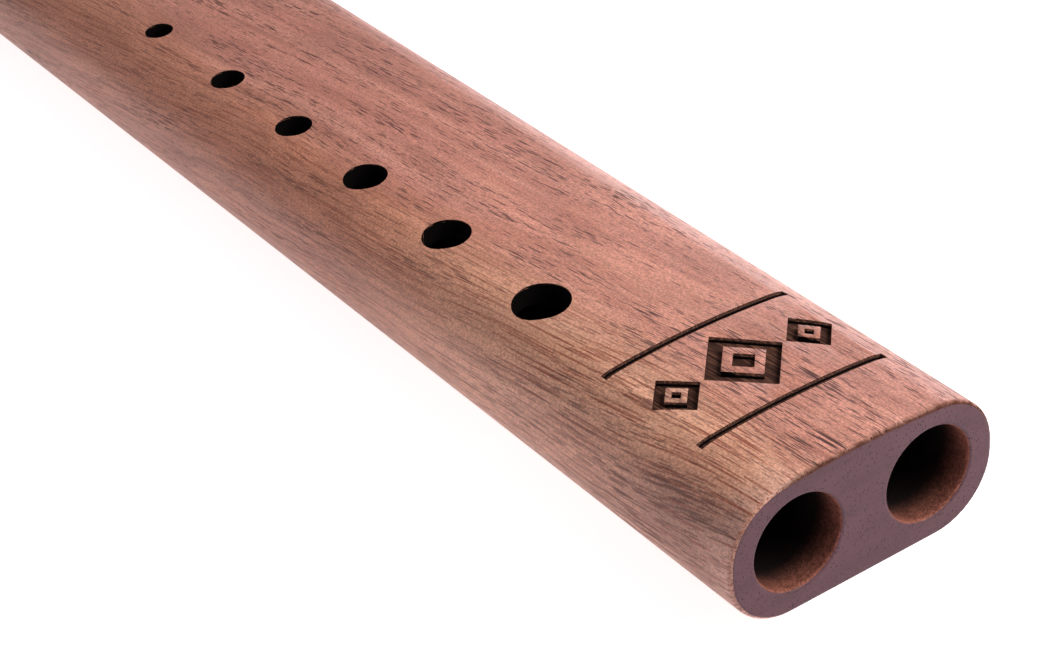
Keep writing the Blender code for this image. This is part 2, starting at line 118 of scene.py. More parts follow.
class Graph:
    """Adds nodes to a shader tree and joins them."""

    def __init__(self, tree: bpy.types.NodeTree) -> None:
        """Start on the emptied tree of a material, a group or the world."""
        self.tree = tree
        tree.nodes.clear()

    def add(self, kind: str, inputs: Inputs | None = None, **settings: object) -> bpy.types.Node:
        """Add a node.

        Args:
            kind: the node's type name without its ShaderNode prefix.
            inputs: values or sockets for its inputs, by name or number.
            settings: attributes to set on the node.

        Returns:
            The new node.
        """
        prefix = "" if kind.startswith("NodeGroup") else "ShaderNode"
        node = self.tree.nodes.new(prefix + kind)
        for name, value in settings.items():
            setattr(node, name, value)
        self.fill(node, inputs or {})
        return node

    def fill(self, node: bpy.types.Node, inputs: Inputs) -> None:
        """Fill a node's inputs, by name or number."""
        for key, value in inputs.items():
            self.feed(node.inputs[key], value)

    def feed(self, target: Socket, value: Value) -> None:
        """Join a socket to a target, or set the target's value.

        Args:
            target: the input to fill.
            value: an output socket, a number, or a colour or vector.
        """
        if isinstance(value, bpy.types.NodeSocket):
            self.tree.links.new(value, target)
            return
        if target.type == "RGBA" and not isinstance(value, float) and len(value) == 3:
            value = (*value, 1.0)
        target.default_value = value

    def math(
        self, operation: str, first: Value, second: Value = 0.0, clamp: bool = False
    ) -> Socket:
        """Return the result of a math node."""
        numbers: Inputs = {0: first, 1: second}
        return self.add("Math", numbers, operation=operation, use_clamp=clamp).outputs[0]

    def plus(self, first: Value, second: Value, clamp: bool = False) -> Socket:
        """Return the sum of two values."""
        return self.math("ADD", first, second, clamp)

    def minus(self, first: Value, second: Value) -> Socket:
        """Return the difference of two values."""
        return self.math("SUBTRACT", first, second)

    def times(self, first: Value, second: Value, clamp: bool = False) -> Socket:
        """Return the product of two values."""
        return self.math("MULTIPLY", first, second, clamp)

    def vector(self, operation: str, first: Value, second: Value) -> Socket:
        """Return the result of a vector math node."""
        return self.add("VectorMath", {0: first, 1: second}, operation=operation).outputs[0]

    def length(self, vector: Value) -> Socket:
        """Return the length of a vector."""
        return self.add("VectorMath", {0: vector}, operation="LENGTH").outputs["Value"]

    def part(self, vector: Value, axis: int) -> Socket:
        """Return one coordinate of a vector."""
        return self.add("SeparateXYZ", {0: vector}).outputs[axis]

    def millimetres(self, turn: float = 0.0) -> Socket:
        """Return object coordinates in millimetres, turned by degrees so that Y is the grain."""
        place = self.vector("MULTIPLY", self.add("TexCoord").outputs["Object"], (1 / MM,) * 3)
        rotation = (0.0, 0.0, math.radians(turn))
        return self.add("Mapping", {"Vector": place, "Rotation": rotation}).outputs[0]

    def joined(self, across: Value, along: Value, up: Value) -> Socket:
        """Return the vector of three coordinates."""
        return self.add("CombineXYZ", {0: across, 1: along, 2: up}).outputs[0]

    def smooth(
        self, value: Value, start: float, end: float, low: float = 0.0, high: float = 1.0
    ) -> Socket:
        """Return a smooth step of a value: low up to start, and high from end on."""
        limits: Inputs = {0: value, 1: start, 2: end, 3: low, 4: high}
        return self.add("MapRange", limits, interpolation_type="SMOOTHSTEP").outputs[0]

    def blend(self, factor: Value, first: Value, second: Value, how: str = "MIX") -> Socket:
        """Return the mix of two colours."""
        colours: Inputs = {0: factor, 6: first, 7: second}
        return self.add("Mix", colours, data_type="RGBA", blend_type=how).outputs[2]

    def tinted(self, colour: Value, tint: Value) -> Socket:
        """Return a colour multiplied by another."""
        return self.blend(1.0, colour, tint, "MULTIPLY")

    def shaded(self, colour: Value, shade: Value) -> Socket:
        """Return a colour multiplied by a number."""
        grey = self.add("CombineColor", {0: shade, 1: shade, 2: shade}).outputs[0]
        return self.tinted(colour, grey)

    def noise(self, vector: Value, detail: float = 2.0, rough: float = 0.5) -> Socket:
        """Return the grey of a noise texture whose cells are 1 long."""
        inputs: Inputs = {"Vector": vector, "Scale": 1.0, "Detail": detail, "Roughness": rough}
        return self.add("TexNoise", inputs).outputs[0]

    def patches(self, place: Value, cell: Point, detail: float = 2.0) -> Socket:
        """Return a noise whose cells have a given size in millimetres."""
        return self.noise(self.vector("DIVIDE", place, cell), detail)

    def bump(self, height: Value, strength: float, distance: float) -> Socket:
        """Return the normal of a relief, with its distance in metres."""
        inputs: Inputs = {"Strength": strength, "Distance": distance, "Height": height}
        return self.add("Bump", inputs).outputs[0]

    def light(self, kind: str, colour: Colour, strength: float) -> Socket:
        """Return an Emission or a Background shader."""
        return self.add(kind, {"Color": colour, "Strength": strength}).outputs[0]

    def mix(self, factor: Value, first: Socket, second: Socket) -> Socket:
        """Return the mix of two shaders."""
        return self.add("MixShader", {0: factor, 1: first, 2: second}).outputs[0]


class Group:
    """A shader node group with named inputs and one named output, built once."""

    def __init__(self, name: str, inputs: dict[str, float], output: str) -> None:
        """Make the group's tree and sockets.

        Args:
            name: the group's name.
            inputs: its number inputs with their defaults; a Vector input is always there.
            output: its number output.
        """
        self.tree = bpy.data.node_groups.new(name, "ShaderNodeTree")
        interface = self.tree.interface
        interface.new_socket("Vector", in_out="INPUT", socket_type="NodeSocketVector")
        for label, default in inputs.items():
            socket = interface.new_socket(label, in_out="INPUT", socket_type="NodeSocketFloat")
            socket.default_value = default
        interface.new_socket(output, in_out="OUTPUT", socket_type="NodeSocketFloat")
        self.graph = Graph(self.tree)
        self.given = self.graph.add("NodeGroupInput").outputs
        self.result = self.graph.add("NodeGroupOutput").inputs[0]

    def cells(self, width: Value, length: Value) -> Socket:
        """Return the Vector input divided by the size of a cell along Y."""
        cell = self.graph.joined(width, length, width)
        return self.graph.vector("DIVIDE", self.given["Vector"], cell)

    def place(self, graph: Graph, vector: Value, **values: Value) -> Socket:
        """Place the group in another tree, with its inputs by name, and return its output."""
        inputs: Inputs = {"Vector": vector, **values}
        return graph.add("Group", inputs, node_tree=self.tree).outputs[0]


class Effects:
    """The shared effects of the wood and metal finishes."""

    def __init__(self) -> None:
        """Build every group once."""
        self.dashes = self._dashes()
        self.fibre = self._fibre()
        self.speckle = self._speckle()

    @staticmethod
    def _dashes() -> Group:
        """Build long thin cells along Y: open pores, or streaks where they are large.

        Returns:
            The group, whose Mask is 1 in a cell.
        """
        numbers = {"Crowd": 1.0, "Width": 1.0, "Length": 10.0, "Fill": 0.25, "Softness": 0.1}
        group = Group("grain_dashes", numbers, "Mask")
        graph, given = group.graph, group.given
        place = group.cells(given["Width"], given["Length"])
        cells = graph.add("TexVoronoi", {"Vector": place, "Scale": 1.0})
        size = graph.add("SeparateColor", {0: cells.outputs["Color"]}).outputs[0]
        reach = graph.times(given["Fill"], graph.smooth(size, 0.0, 1.0, 0.4, 1.0))
        depth = graph.minus(graph.times(reach, given["Crowd"]), cells.outputs["Distance"])
        mask = graph.math("DIVIDE", depth, given["Softness"], clamp=True)
        graph.feed(group.result, mask)
        return group

    @staticmethod
    def _fibre() -> Group:
        """Build the fine streaks of wood or of brushed metal along Y.

        Returns:
            The group, whose output is Tone.
        """
        group = Group("fibre", {"Width": 0.5, "Length": 15.0}, "Tone")
        place = group.cells(group.given["Width"], group.given["Length"])
        group.graph.feed(group.result, group.graph.noise(place, detail=3.0, rough=0.6))
        return group

    @staticmethod
    def _speckle() -> Group:
        """Build a fine speckle, which Stretch draws out along Y.

        Returns:
            The group, whose output is Tone.
        """
        group = Group("speckle", {"Size": 0.4, "Stretch": 1.0}, "Tone")
        size = group.given["Size"]
        place = group.cells(size, group.graph.times(size, group.given["Stretch"]))
        group.graph.feed(group.result, group.graph.noise(place, detail=1.5, rough=0.6))
        return group


@dataclass(frozen=True)
class Finish(ABC):
    """A finish, made as a material with one Principled shader.

    Lengths are in millimetres. A zone runs from where a change starts to where it is full.
    """

    name: str

    def material(self, effects: Effects) -> Material:
        """Make the finish's material.

        Args:
            effects: the shared node groups.

        Returns:
            The material.
        """
        material = bpy.data.materials.new(self.name)
        material.use_nodes = True
        graph = Graph(material.node_tree)
        shader = graph.add("BsdfPrincipled")
        graph.add("OutputMaterial", {"Surface": shader.outputs[0]})
        graph.fill(shader, self.looks(graph, effects))
        return material

    @abstractmethod
    def looks(self, graph: Graph, effects: Effects) -> Inputs:
        """Build the looks of the finish.

        Args:
            graph: the material's tree.
            effects: the shared node groups.

        Returns:
            The shader's inputs, by name.
        """


@dataclass(frozen=True)
class OiledWood(Finish):
    """Side grain of an open-pored hardwood under a thin oil finish."""

    heart: Colour = (0.72, 0.335, 0.236)
    band: Colour = (0.61, 0.260, 0.182)
    sap: Colour = (0.78, 0.415, 0.255)
    # Painted highlight: the pale colour that the sapwood takes near the foot, where the rounded
    # foot catches the light.
    foot_highlight: Colour = (1.0, 0.60, 0.44)
    far_sap: Colour = (0.61, 0.262, 0.145)
    streak: Colour = (0.30, 0.088, 0.044)
    dark: Colour = (0.27, 0.090, 0.048)
    pore: Colour = (0.075, 0.022, 0.019)
    # A thin brown line and painted shade: the colour of the cut end's rounded edge.
    cut_edge: Colour = (0.048, 0.018, 0.010)
    far_tint: Colour = (0.88, 0.85, 0.86)
    # Painted shade: the colour that darkens the outer low side.
    low_side_shade: Colour = (0.52, 0.49, 0.50)
    layer_tints: Tints = ((0.92, 0.88, 0.86), (1.03, 1.03, 1.04))
    thread_tints: Tints = ((0.93, 0.90, 0.89), (1.03, 1.03, 1.04))
    fibre_tints: Tints = ((0.93, 0.90, 0.89), (1.05, 1.06, 1.07))
    # The speckle's pale flecks are partly the wood's own speckle and partly painted sheen.
    speckle_and_sheen_tints: Tints = ((0.72, 0.70, 0.69), (1.24, 1.25, 1.26))
    roughness: float = 0.4
    shine: float = 0.5
    grain_turn: float = -5.5
    flat_half: float = 16.75
    side_radius: float = 13.0
    warp: float = 7.0
    sap_line: Zone = (-6.5, -19.5)
    sap_ragged: float = 12.0
    sap_share: float = 0.85
    sap_zone: Zone = (60.0, 140.0)
    # Where the painted highlight at the foot reaches, and how strong it is.
    foot_highlight_zone: Zone = (9.0, 1.0)
    foot_highlight_share: float = 0.6
    far_zone: Zone = (50.0, 190.0)
    foot_zone: Zone = (75.0, 15.0)
    streak_share: float = 0.2
    sap_streaks: float = 4.2
    foot_streaks: float = 2.6
    foot_pores: float = 1.3
    long_pores: float = 0.95
    short_pores: float = 0.7
    # The dark line on the shoulder: partly a streak in the wood, partly painted shade where the
    # top's light turns away.
    dark_line: float = -27.0
    dark_reach: Zone = (5.5, 0.5)
    dark_share: float = 0.42
    # Where the painted shade of the low side reaches, and how much less it is near the foot.
    low_zone: Zone = (-25.0, -28.5)
    low_far_zone: Zone = (190.0, 90.0)
    low_foot_zone: Zone = (2.0, 24.0)
    low_foot_share: float = 0.5
    cut_edge_reach: float = 0.0
    cut_edge_ragged: float = 0.8
    cut_edge_share: float = 0.9
    cut_edge_zone: Zone = (-24.0, -15.0)
    cut_edge_side: float = 0.3

    def looks(self, graph: Graph, effects: Effects) -> Inputs:
        """Build the figure of the wood, its fine grain and its open pores.

        Args:
            graph: the material's tree.
            effects: the shared node groups.

        Returns:
            The shader's inputs, by name.
        """
        shift = self._wander(graph)
        place = graph.vector("ADD", graph.millimetres(self.grain_turn), shift)
        grain = graph.vector("ADD", self._followed(graph), shift)
        fibre = effects.fibre.place(graph, grain, Width=0.4, Length=12.0)
        speckle = effects.speckle.place(graph, place, Size=0.34, Stretch=1.7)
        sap = self._sapwood(graph, shift, grain)
        colour = self._figure(graph, place, grain, sap)

        streaks = effects.dashes.place(
            graph, grain, Width=0.48, Length=20.0, Fill=0.6, Softness=0.12
        )
        most = self.streak_share * self.sap_streaks
        share = graph.smooth(sap, 0.0, 1.0, self.streak_share, most)
        share = graph.times(share, self._near_foot(graph, self.foot_streaks), clamp=True)
        share = graph.times(share, graph.smooth(fibre, 0.3, 0.65, 0.35, 1.0))
        colour = graph.blend(graph.times(streaks, share), colour, self.streak)
        threads = effects.fibre.place(graph, grain, Width=0.2, Length=26.0)
        layers = graph.patches(grain, (9.0, 80.0, 0.55))
        tones = (layers, threads, fibre, speckle)
        # The speckle's tint is partly painted sheen.
        tints = (self.layer_tints, self.thread_tints, self.fibre_tints, self.speckle_and_sheen_tints)
        for tone, (dark, light) in zip(tones, tints):
            tint = graph.blend(graph.smooth(tone, 0.28, 0.72), dark, light)
            colour = graph.tinted(colour, tint)

        pore = self._pores(graph, effects, grain)
        pore = graph.times(pore, graph.smooth(sap, 0.0, self.sap_share, 1.0, 0.65))
        colour = graph.blend(pore, colour, self.pore)
        shine: Value = self.shine
        # The cut end's edge: a brown line with painted shade on the rounded rim.
        if self.cut_edge_reach:
            edge = self._edge_share(graph, effects, place)
            colour = graph.blend(edge, colour, self.cut_edge)
            shine = graph.smooth(edge, 0.0, 1.0, self.shine, 0.0)
        rough = graph.plus(graph.smooth(speckle, *NOISE_SPAN, -0.06, 0.07), self.roughness)
        relief = graph.minus(graph.times(speckle, 0.6), pore)
        relief = graph.plus(relief, graph.times(fibre, 0.5))
        return {
            "Base Color": colour,
            "Specular IOR Level": shine,
            "Roughness": graph.plus(rough, graph.times(pore, 0.3), clamp=True),
            "Normal": graph.bump(relief, 0.4, 0.00012),
        }

    def _wander(self, graph: Graph) -> Socket:
        """Make the slow waves of the grain.

        Args:
            graph: the material's tree.

        Returns:
            The shift that, added to a place, bends the grain in waves.
        """
        place = graph.millimetres(self.grain_turn)
        wander = graph.patches(place, (70.0, 160.0, 70.0))
        shift = graph.times(graph.minus(wander, 0.5), 2 * self.warp)
        return graph.joined(shift, 0.0, shift)

    def _followed(self, graph: Graph) -> Socket:
        """Take the grain's slope out of a place, along the skin of the flute.

        The way round the section is measured over half the flat top, a round side and half the
        flat bottom. The slope shifts a point along that way. So the pores are as long on the
        sides as on the top, without a seam.

        Args:
            graph: the material's tree.

        Returns:
            The place in millimetres, with Y along the grain.
        """
        across, along, up = graph.add("SeparateXYZ", {0: graph.millimetres()}).outputs
        flat, radius = self.flat_half, self.side_radius
        half = graph.math("ABSOLUTE", across)
        over = graph.math("MAXIMUM", graph.minus(half, flat), 0.0)
        reach = graph.length(graph.joined(over, 0.0, up))
        under = graph.times(graph.math("LESS_THAN", up, 0.0), 2.0)
        inner = graph.math("MAXIMUM", graph.minus(flat, half), 0.0)
        way = graph.plus(graph.math("MINIMUM", half, flat), graph.times(under, inner))
        way = graph.plus(way, graph.times(graph.math("ARCTAN2", over, up), radius))
        way = graph.times(way, graph.math("SIGN", across))
        slope = graph.times(along, -math.tan(math.radians(self.grain_turn)))
        end = 2 * flat + math.pi * radius
        limits: Inputs = {0: graph.plus(way, slope), 1: end, 2: -end}
        way = graph.add("Math", limits, operation="WRAP").outputs[0]

        far = graph.math("ABSOLUTE", way)
        past = graph.minus(far, flat)
        turn = graph.math("MAXIMUM", graph.math("DIVIDE", past, radius), 0.0)
        turn = graph.math("MINIMUM", turn, math.pi)
        back = graph.math("MAXIMUM", graph.minus(past, math.pi * radius), 0.0)
        level = graph.minus(graph.math("MINIMUM", far, flat), back)
        side = graph.plus(level, graph.times(graph.math("SINE", turn), reach))
        side = graph.times(side, graph.math("SIGN", way))
        return graph.joined(side, along, graph.times(graph.math("COSINE", turn), reach))

    def _sapwood(self, graph: Graph, shift: Socket, grain: Socket) -> Socket:
        """Find the pale sapwood, which lies past an uneven line.

        Args:
            graph: the material's tree.
            shift: the slow waves.
            grain: the place, with Y along the grain.

        Returns:
            The share of sapwood.
        """
        across = graph.part(graph.vector("ADD", graph.millimetres(), shift), ACROSS)
        patch = graph.patches(grain, (10.0, 90.0, 10.0))
        edge = graph.plus(across, graph.times(graph.minus(patch, 0.5), self.sap_ragged))
        return graph.smooth(edge, *self.sap_line, 0.0, self.sap_share)

    def _figure(self, graph: Graph, place: Socket, grain: Socket, sap: Socket) -> Socket:
        """Mix the ground colour.

        The heartwood is banded, and the sapwood gets a painted highlight at the foot. A dark line
        runs along one side, partly a streak in the wood and partly painted shade of the shoulder,
        and that side gets painted shade low down. Slow clouds lie over all, and all of it gets
        darker away from the foot.

        Args:
            graph: the material's tree.
            place: the place on a straight, sloping grain.
            grain: the place, with Y along the grain.
            sap: the share of sapwood.

        Returns:
            The colour.
        """
        across, along = graph.part(place, ACROSS), graph.part(grain, ALONG)
        bands = graph.patches(grain, (4.5, 200.0, 4.5), detail=3.0)
        colour = graph.blend(graph.smooth(bands, 0.36, 0.68), self.heart, self.band)
        pale = graph.blend(graph.smooth(along, *self.sap_zone), self.sap, self.far_sap)
        # Painted highlight on the sapwood near the foot.
        foot = graph.smooth(along, *self.foot_highlight_zone, 0.0, self.foot_highlight_share)
        colour = graph.blend(sap, colour, graph.blend(foot, pale, self.foot_highlight))

        fine = graph.patches(grain, (1.6, 60.0, 1.6))
        # The dark line: partly a streak in the wood, partly painted shade on the shoulder.
        away = graph.math("ABSOLUTE", graph.minus(across, self.dark_line))
        dark = graph.times(graph.smooth(away, *self.dark_reach), graph.smooth(fine, 0.35, 0.6))
        colour = graph.blend(graph.times(dark, self.dark_share), colour, self.dark)
        cloud = graph.patches(grain, (8.0, 22.0, 8.0))
        slow = graph.patches(grain, (45.0, 170.0, 45.0), detail=1.0)
        for tone, low, high in ((cloud, 0.9, 1.07), (fine, 0.88, 1.06), (slow, 0.88, 1.06)):
            colour = graph.shaded(colour, graph.smooth(tone, 0.25, 0.7, low, high))

        far = graph.blend(graph.smooth(along, *self.far_zone), WHITE, self.far_tint)
        colour = graph.tinted(colour, far)
        # Painted shade on the outer low side, less near the foot.
        low = graph.smooth(across, *self.low_zone)
        low = graph.times(low, graph.smooth(along, *self.low_far_zone))
        near = graph.smooth(along, *self.low_foot_zone, self.low_foot_share, 1.0)
        return graph.blend(graph.times(low, near), colour, graph.tinted(colour, self.low_side_shade))

    def _near_foot(self, graph: Graph, near: float) -> Socket:
        """Return a value that goes from 1 to another number near the foot."""
        along = graph.part(graph.millimetres(), ALONG)
        return graph.smooth(along, *self.foot_zone, 1.0, near)

    def _pores(self, graph: Graph, effects: Effects, grain: Socket) -> Socket:
        """Open the pores, which crowd together in lines along the grain.

        Args:
            graph: the material's tree.
            effects: the shared node groups.
            grain: the place, with Y along the grain.

        Returns:
            The mask of the pores.
        """
        patches = graph.patches(grain, (7.0, 38.0, 7.0))
        lines = graph.patches(grain, (1.1, 130.0, 1.1), detail=1.0)
        crowd = graph.smooth(patches, 0.38, 0.6, 0.62, 1.07)
        crowd = graph.times(crowd, graph.smooth(lines, 0.42, 0.58, 0.72, 1.1))
        crowd = graph.times(crowd, self._near_foot(graph, self.foot_pores))
        long = effects.dashes.place(
            graph, grain, Crowd=crowd, Width=0.38, Length=6.0, Fill=0.46, Softness=0.1
        )
        short = effects.dashes.place(
            graph, grain, Crowd=crowd, Width=0.31, Length=3.6, Fill=0.41, Softness=0.12
        )
        long = graph.times(long, self.long_pores)
        return graph.math("MAXIMUM", long, graph.times(short, self.short_pores))

    def _edge_share(self, graph: Graph, effects: Effects, place: Socket) -> Socket:
        """Darken the edge of the cut end, a thin brown line with painted shade on its round: most
        on top, less on one side.

        Args:
            graph: the material's tree.
            effects: the shared node groups.
            place: the place on a straight, sloping grain.

        Returns:
            The share of brown.
        """
        along = graph.part(graph.millimetres(), ALONG)
        ragged = graph.minus(effects.speckle.place(graph, place, Size=1.5), 0.5)
        edge = graph.plus(along, graph.times(ragged, self.cut_edge_ragged))
        whole = self.cut_edge_reach * 0.1
        share = graph.smooth(edge, self.cut_edge_reach, whole, 0.0, self.cut_edge_share)
        across = graph.part(place, ACROSS)
        side = graph.smooth(across, *self.cut_edge_zone, self.cut_edge_side, 1.0)
        return graph.times(share, side)


@dataclass(frozen=True)
class EndGrain(Finish):
    """Cross-cut wood: a matt, dense surface dotted with the pores' mouths."""

    # Painted shade and a painted mauve cast of the light on the end face, over the end grain's own
    # darker tone.
    base: Colour = (0.060, 0.0165, 0.023)
    pale: Colour = (0.085, 0.0262, 0.035)
    pore: Colour = (0.018, 0.004, 0.005)
    roughness: float = 0.58

    def looks(self, graph: Graph, effects: Effects) -> Inputs:
        """Build faint growth rings, a speckle and the dots.

        Args:
            graph: the material's tree.
            effects: the shared node groups.

        Returns:
            The shader's inputs, by name.
        """
        place = graph.millimetres()
        rings = graph.patches(place, (14.0, 40.0, 4.5), detail=3.0)
        colour = graph.blend(graph.smooth(rings, 0.25, 0.75), self.base, self.pale)
        speckle = effects.speckle.place(graph, place, Size=0.42)
        colour = graph.shaded(colour, graph.smooth(speckle, *NOISE_SPAN, 0.86, 1.12))
        dots = effects.dashes.place(graph, place, Width=0.55, Length=3.0, Fill=0.42, Softness=0.16)
        dot = graph.times(dots, graph.smooth(rings, 0.3, 0.6, 0.45, 0.9))
        relief = graph.minus(graph.times(speckle, 0.5), dot)
        return {
            "Base Color": graph.blend(dot, colour, self.pore),
            "Roughness": graph.plus(graph.times(dot, 0.2), self.roughness),
            "Normal": graph.bump(relief, 0.4, 0.0001),
        }


@dataclass(frozen=True)
class BoredWood(Finish):
    """The raw wall of a drilled hole: rough, with painted shade that darkens it with depth."""

    mouth: Colour = (0.29, 0.100, 0.066)
    # Painted shade: the near-black colour deep in the hole.
    deep_shade: Colour = (0.006, 0.0025, 0.002)
    fade: Zone = (-2.0, 7.5)

    def looks(self, graph: Graph, effects: Effects) -> Inputs:
        """Build the painted shade that darkens the wall with depth, under a fine speckle and a
        coarse one.

        Args:
            graph: the material's tree.
            effects: the shared node groups.

        Returns:
            The shader's inputs, by name.
        """
        place = graph.millimetres()
        # Painted shade: the wall darkens with depth into the hole.
        depth = graph.smooth(graph.part(place, ALONG), *self.fade)
        fine = effects.speckle.place(graph, place, Size=0.5)
        coarse = effects.speckle.place(graph, place, Size=1.6)
        tone = graph.smooth(fine, *NOISE_SPAN, 0.62, 1.25)
        tone = graph.times(tone, graph.smooth(coarse, *NOISE_SPAN, 0.8, 1.15))
        return {
            "Base Color": graph.shaded(graph.blend(depth, self.mouth, self.deep_shade), tone),
            "Roughness": 0.75,
            "Specular IOR Level": 0.15,
            "Normal": graph.bump(graph.plus(fine, coarse), 0.6, 0.00025),
        }


@dataclass(frozen=True)
class BurntWood(Finish):
    """Wood browned by a burning tool: the grain shows on level floors, and walls are near black
    with soot and painted shade.
    """

    # Soot and painted shade: the near-black colour of the walls.
    soot_and_shade: Colour = (0.003, 0.002, 0.002)
    brown: Colour = (0.05, 0.023, 0.017)
    ridge: Colour = (0.19, 0.085, 0.055)
    level: Zone = (0.45, 0.8)

    def looks(self, graph: Graph, effects: Effects) -> Inputs:
        """Build the browned grain, and the soot and painted shade on the walls.

        Args:
            graph: the material's tree.
            effects: the shared node groups.

        Returns:
            The shader's inputs, by name.
        """
        place = graph.millimetres(OiledWood.grain_turn)
        lines = effects.fibre.place(graph, place, Width=0.4, Length=9.0)
        colour = graph.blend(graph.smooth(lines, 0.45, 0.68), self.brown, self.ridge)
        # Walls get soot and painted shade, and level floors keep the browned grain.
        upward = graph.part(graph.add("NewGeometry").outputs["Normal"], UP)
        level = graph.smooth(graph.math("ABSOLUTE", upward), *self.level)
        return {
            "Base Color": graph.blend(level, self.soot_and_shade, colour),
            "Roughness": 0.8,
            "Specular IOR Level": 0.04,
            "Normal": graph.bump(lines, 0.5, 0.0002),
        }


@dataclass(frozen=True)
class BrushedBrass(Finish):
    """Brass sheet, brushed along the flute and a little dulled."""

    bright: Colour = (0.80, 0.56, 0.24)
    dull: Colour = (0.50, 0.32, 0.13)
    roughness: Zone = (0.24, 0.42)

    def looks(self, graph: Graph, effects: Effects) -> Inputs:
        """Build the brush's lines and the dull stains.

        Args:
            graph: the material's tree.
            effects: the shared node groups.

        Returns:
            The shader's inputs, by name.
        """
        place = graph.millimetres()
        lines = effects.fibre.place(graph, place, Width=0.12, Length=25.0)
        stain = effects.speckle.place(graph, place, Size=5.0)
        return {
            "Base Color": graph.blend(graph.smooth(stain, 0.45, 0.75), self.bright, self.dull),
            "Metallic": 1.0,
            "Roughness": graph.smooth(stain, *NOISE_SPAN, *self.roughness),
            "Normal": graph.bump(lines, 0.25, 0.00003),
        }


def merged_copy(node: Node) -> Mesh:
    """Copy a frame node's mesh and join its loose triangles into whole faces.

    Args:
        node: the node to copy.

    Returns:
        The copy, which the caller frees.
    """
    mesh = bmesh.new()
    mesh.from_mesh(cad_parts[node.value].data)
    bmesh.ops.remove_doubles(mesh, verts=mesh.verts[:], dist=MERGE_DISTANCE)
    parts = {"verts": mesh.verts[:], "edges": mesh.edges[:]}
    bmesh.ops.dissolve_limit(mesh, angle_limit=FLAT_ANGLE, **parts)
    return mesh


def finish_mesh(mesh: Mesh, name: str, materials: Iterable[Material]) -> Object:
    """Turn a bmesh into an object that is smooth between its sharp edges.

    Args:
        mesh: the mesh, which is freed.
        name: the new object's name.
        materials: its materials, in order.

    Returns:
        The object.
    """
    data = bpy.data.meshes.new(name)
    mesh.to_mesh(data)
    mesh.free()
    for material in materials:
        data.materials.append(material)
    data.shade_smooth()
    data.set_sharp_from_angle(angle=SHARP_ANGLE)
    piece = bpy.data.objects.new(name, data)
    bpy.context.scene.collection.objects.link(piece)
    return piece


def even_normals(piece: Object) -> None:
    """Let large faces set the normals of the small ones beside them.

    Args:
        piece: the object, which gets a modifier for it.
    """
    modifier = piece.modifiers.new("even_normals", "WEIGHTED_NORMAL")
    modifier.keep_sharp = True
    modifier.weight = 50


def commit(piece: Object, node: Node, carrier: Carrier) -> None:
    """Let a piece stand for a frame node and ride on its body.

    Args:
        piece: the finished piece.
        node: the node that it replaces.
        carrier: the body that it rides on.
    """
    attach(piece, carrier.value)
    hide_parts(node.value)
    faces = len(piece.data.polygons)
    LOG.info("%s: %d faces, rides on %s", piece.name, faces, carrier.value)


@dataclass
class Lozenge:
    """One lozenge of the engraved band, or a ring where it has a raised core."""

    across: float
    half_across: float
    half_along: float
    core_share: float = 0.0


